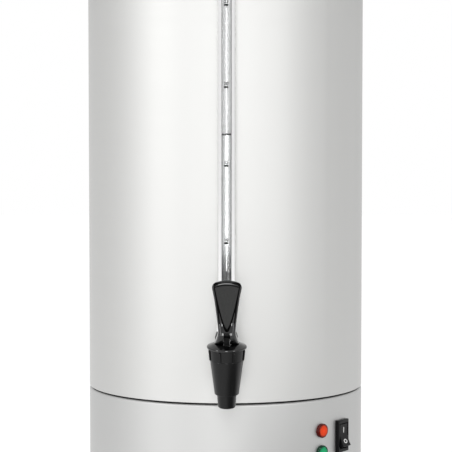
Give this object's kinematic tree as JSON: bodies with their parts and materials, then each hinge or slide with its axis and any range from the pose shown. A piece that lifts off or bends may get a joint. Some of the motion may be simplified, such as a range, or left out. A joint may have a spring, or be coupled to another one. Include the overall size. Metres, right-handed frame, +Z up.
{
  "type": "hot water dispenser",
  "caption": "Tall cylindrical steel hot water dispenser on a separate base, with a front sight gauge, lever tap, side handles and lift-off lid.",
  "frame": {"origin": "on the tank's axis, in the plane of the foot ring's underside", "axes": "+Z up along the tank's axis, -Y forwards to the tap, +X to the right as seen from the tap's side"},
  "size_m": [0.398, 0.3904, 0.6473],
  "materials": {
    "steel": "fine satin",
    "plate_steel": "plain",
    "polished": "polished",
    "screw_steel": "plated",
    "black_rubber": "matte",
    "silicone": "matte",
    "tap_black": "gloss",
    "handle_black": "satin",
    "switch_black": "satin",
    "glass": "clear",
    "heater_alloy": "cast",
    "element_steel": "heat tinted",
    "brass": "plain",
    "copper": "plain copper",
    "ivory_plastic": "matte",
    "red_lens": "translucent gloss",
    "green_lens": "translucent gloss",
    "red_button": "satin"
  },
  "bodies": {
    "vessel": {"foot_ring": "black_rubber", "base_skirt": "steel", "bottom_plate": "plate_steel", "base_screws": "screw_steel", "base_gasket": "black_rubber", "tank_shell": "steel", "tank_bottom": "steel", "tank_studs": "screw_steel", "tank_nuts": "screw_steel", "heating_plate": "heater_alloy", "heating_element": "element_steel", "thermostat_body": "ivory_plastic", "thermostat_nut": "screw_steel", "thermostat_bulb": "copper", "bulb_clip": "plate_steel", "limiter_body": "switch_black", "limiter_screws": "screw_steel", "terminal_block": "ivory_plastic", "terminal_screws": "brass", "switch_housing": "switch_black", "red_lamp_lens": "red_lens", "red_lamp_body": "ivory_plastic", "green_lamp_lens": "green_lens", "green_lamp_body": "ivory_plastic", "lamp_clips": "screw_steel", "gland_body": "switch_black", "gland_seal": "black_rubber", "gland_nut": "switch_black", "gland_locknut": "switch_black", "tap_body": "tap_black", "tap_gasket_outer": "silicone", "tap_gasket_inner": "silicone", "tap_locknut": "ivory_plastic", "tap_bonnet": "tap_black", "tap_spring": "screw_steel", "gauge_seal": "black_rubber", "gauge_nut": "tap_black", "gauge_glass": "glass", "gauge_shield": "polished", "shield_ferrule": "polished", "gauge_head": "polished", "head_gasket": "black_rubber", "head_nut": "screw_steel", "handle_left": "handle_black", "handle_right": "handle_black", "handle_bracket_left": "steel", "handle_bracket_right": "steel", "handle_screws": "screw_steel"},
    "stem": {"tap_stem": "tap_black", "valve_cup": "silicone", "lever_pin": "screw_steel"},
    "lever": {"tap_lever": "tap_black"},
    "rocker": {"switch_rocker": "switch_black"},
    "knob": {"thermostat_knob": "handle_black", "thermostat_shaft": "brass"},
    "lid": {"lid": "steel", "lid_collar": "steel", "lid_knob": "handle_black", "lid_knob_screw": "screw_steel"},
    "reset": {"reset_button": "red_button"}
  },
  "joints": [
    {"name": "lever_tilt", "type": "hinge", "parent": "stem", "child": "lever", "pos_m": [0, -0.20823, 0.17723], "axis": [1, 0, 0], "range_deg": [0, 40], "stiffness_Nm_per_rad": 0.06, "springref_deg": -34.38},
    {"name": "stem_lift", "type": "slide", "parent": "vessel", "child": "stem", "axis": [0, -0.1392, 0.9903], "range_m": [0, 0.00349], "deforming": ["tap_spring"]},
    {"name": "rocker_tilt", "type": "hinge", "parent": "vessel", "child": "rocker", "pos_m": [0.11771, -0.08552, 0.059], "axis": [0.5878, 0.809, 0], "range_deg": [0, 22]},
    {"name": "knob_turn", "type": "hinge", "parent": "vessel", "child": "knob", "pos_m": [0.11976, 0.08386, 0.057], "axis": [-0.8192, -0.5736, 0], "range_deg": [0, 270]},
    {"name": "lid_lift", "type": "slide", "parent": "vessel", "child": "lid", "axis": [0, 0, 1], "range_m": [0, 0.15]},
    {"name": "reset_press", "type": "slide", "parent": "vessel", "child": "reset", "axis": [0, 0, 1], "range_m": [0, 0.002], "stiffness_N_per_m": 400, "springref_m": -0.003}
  ],
  "couplings": [
    {"joint": "lever_tilt", "follows": "stem_lift", "rad_per_m": 200}
  ]
}
